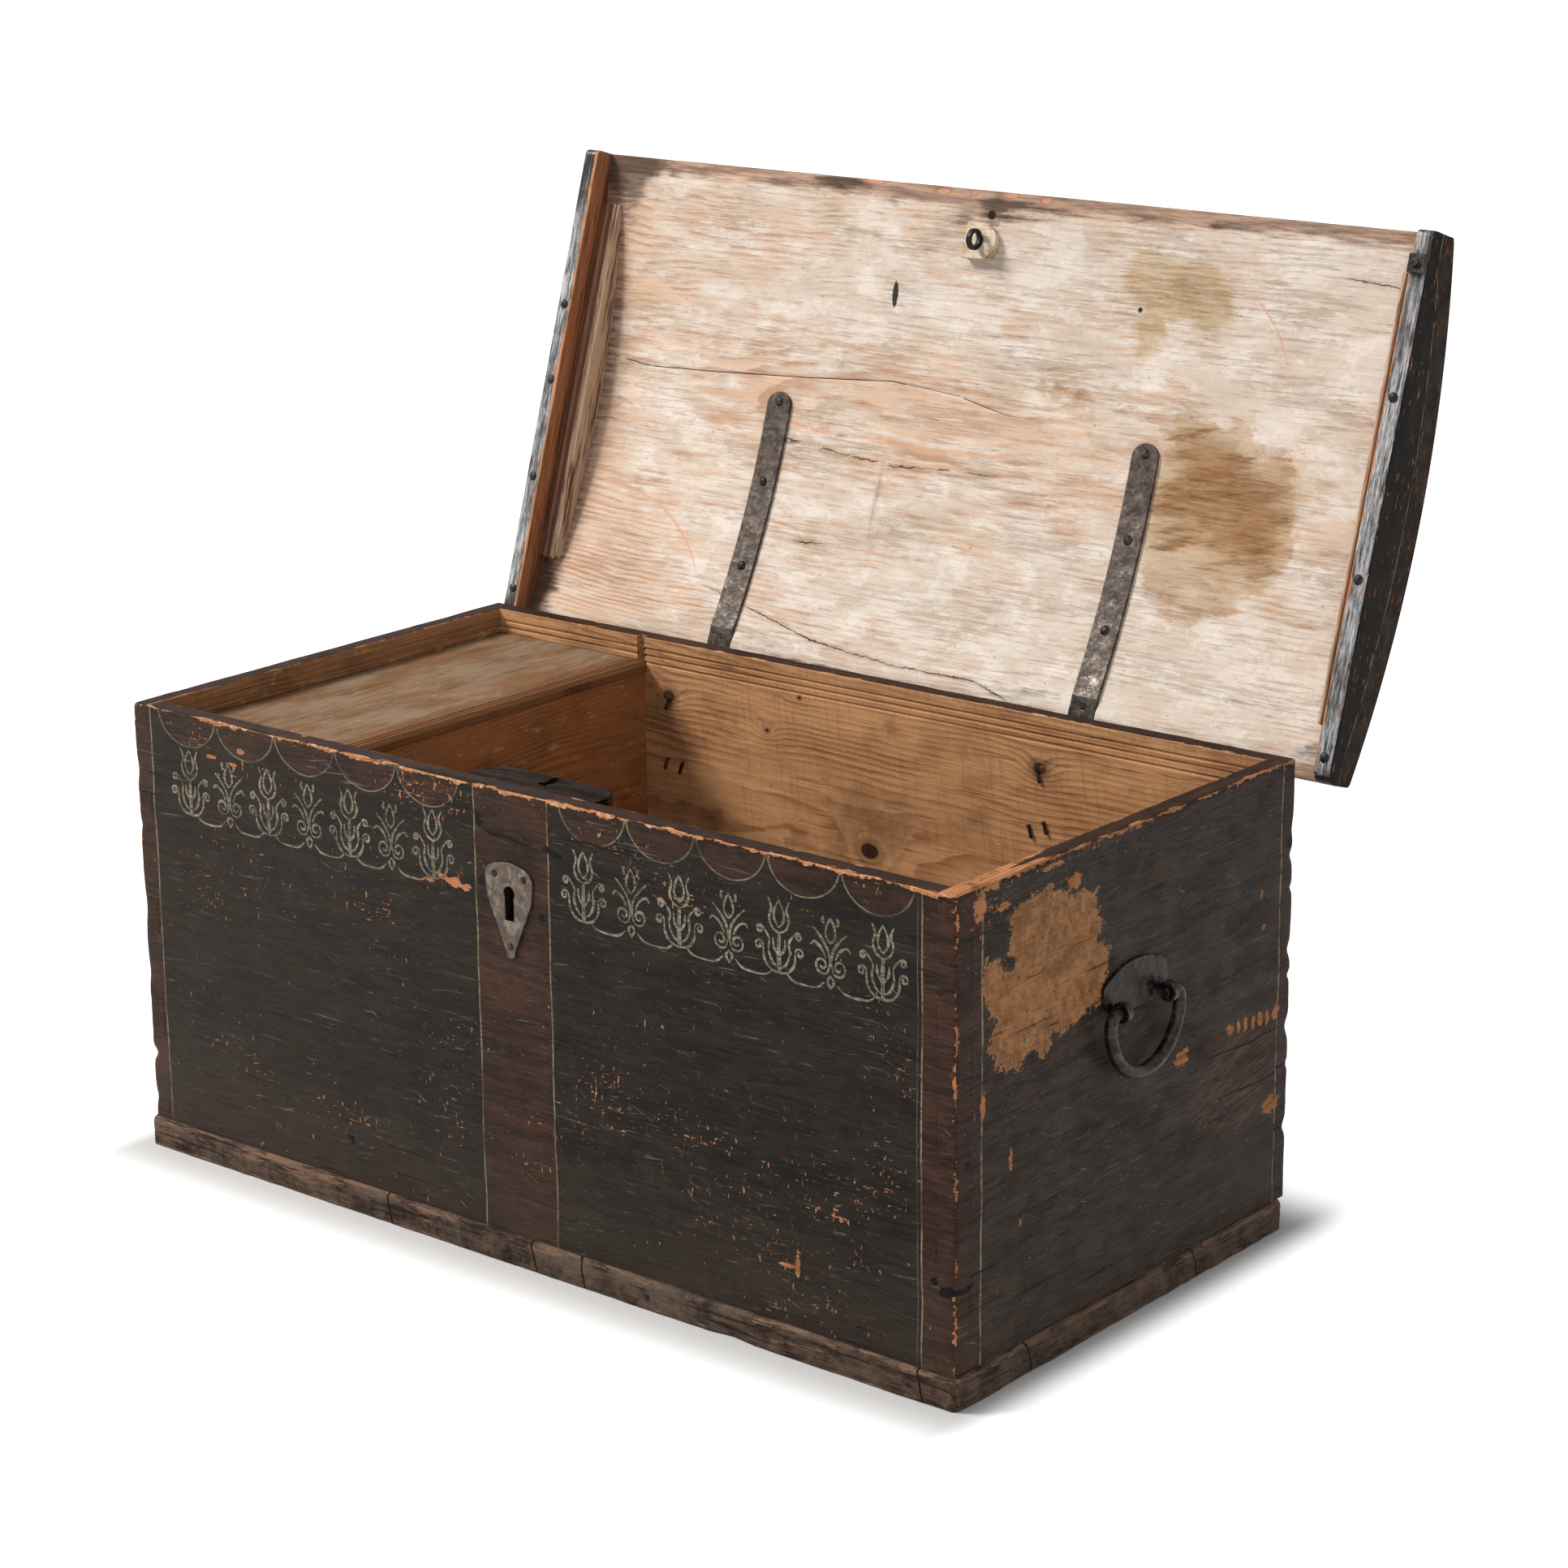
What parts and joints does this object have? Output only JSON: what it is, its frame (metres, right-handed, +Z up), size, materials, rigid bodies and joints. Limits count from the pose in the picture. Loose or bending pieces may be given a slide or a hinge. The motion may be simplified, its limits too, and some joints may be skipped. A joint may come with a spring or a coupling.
{
  "type": "blanket chest",
  "caption": "Free-standing blanket chest: dovetailed walls on a plinth, domed lid on strap hinges, lidded till, sliding-bolt lock and a swinging handle on each end.",
  "frame": {"origin": "on the floor under the middle of the case, on the underside of the middle bearer", "axes": "+X towards the right end seen from the front, -Y towards the front, +Z up"},
  "size_m": [1.255, 0.8883, 1.1046],
  "materials": {
    "bare_pine": "bare aged pine",
    "charcoal_painted_pine": "worn charcoal paint",
    "brown_painted_pine": "worn red-brown paint",
    "limewashed_pine": "worn limewash, stained",
    "weathered_till_pine": "grey weathered pine",
    "dark_lock_wood": "dark stain",
    "wrought_iron": "dark forged iron, rust bloom"
  },
  "bodies": {
    "case": {"front_board": "charcoal_painted_pine", "end_board_left": "charcoal_painted_pine", "end_board_right": "charcoal_painted_pine", "back_board": "bare_pine", "bottom_plank_front": "bare_pine", "bottom_plank_middle": "bare_pine", "bottom_plank_rear": "bare_pine", "bottom_bearer": "bare_pine", "plinth_front": "brown_painted_pine", "plinth_back": "brown_painted_pine", "plinth_left": "brown_painted_pine", "plinth_right": "brown_painted_pine", "plinth_nails": "wrought_iron", "till_front_board": "bare_pine", "till_floor_board": "bare_pine", "till_nails": "wrought_iron", "lock_cover": "dark_lock_wood", "lock_nails": "wrought_iron", "lock_plate": "wrought_iron", "lock_bolt_guides": "wrought_iron", "lock_key_post": "wrought_iron", "lock_spring": "wrought_iron", "escutcheon_plate": "wrought_iron", "escutcheon_nails": "wrought_iron", "hinge_leaf_left": "wrought_iron", "hinge_pin_left": "wrought_iron", "leaf_nails_left": "wrought_iron", "handle_plate_left": "wrought_iron", "handle_eyes_left": "wrought_iron", "hinge_leaf_right": "wrought_iron", "hinge_pin_right": "wrought_iron", "leaf_nails_right": "wrought_iron", "handle_plate_right": "wrought_iron", "handle_eyes_right": "wrought_iron"},
    "lid": {"lid_plank_front": "limewashed_pine", "lid_plank_middle": "limewashed_pine", "lid_plank_rear": "limewashed_pine", "catch_block": "limewashed_pine", "catch_eye": "wrought_iron", "batten_bolt_right": "wrought_iron", "lid_batten_left": "charcoal_painted_pine", "lid_inner_strip_left": "brown_painted_pine", "batten_nails_left": "wrought_iron", "hinge_strap_left": "wrought_iron", "strap_rivets_left": "wrought_iron", "lid_batten_right": "charcoal_painted_pine", "lid_inner_strip_right": "brown_painted_pine", "batten_nails_right": "wrought_iron", "hinge_strap_right": "wrought_iron", "strap_rivets_right": "wrought_iron"},
    "till_lid": {"till_lid_board": "weathered_till_pine", "till_lid_pins": "weathered_till_pine"},
    "handle_left": {"handle_bail_left": "wrought_iron"},
    "handle_right": {"handle_bail_right": "wrought_iron"},
    "lock_bolt": {"lock_bolt": "wrought_iron"}
  },
  "joints": [
    {"name": "lid_hinge", "type": "hinge", "parent": "case", "child": "lid", "pos_m": [0, 0.3215, 0.51], "axis": [-1, 0, 0], "range_deg": [-107.5, 0]},
    {"name": "till_lid_hinge", "type": "hinge", "parent": "case", "child": "till_lid", "pos_m": [-0.566, 0, 0.513], "axis": [0, -1, 0], "range_deg": [0, 92]},
    {"name": "handle_left_swing", "type": "hinge", "parent": "case", "child": "handle_left", "pos_m": [-0.616, 0, 0.358], "axis": [0, 1, 0], "range_deg": [0, 165]},
    {"name": "handle_right_swing", "type": "hinge", "parent": "case", "child": "handle_right", "pos_m": [0.616, 0, 0.358], "axis": [0, -1, 0], "range_deg": [0, 165]},
    {"name": "lock_bolt_slide", "type": "slide", "parent": "case", "child": "lock_bolt", "axis": [1, 0, 0], "range_m": [0, 0.024]}
  ]
}
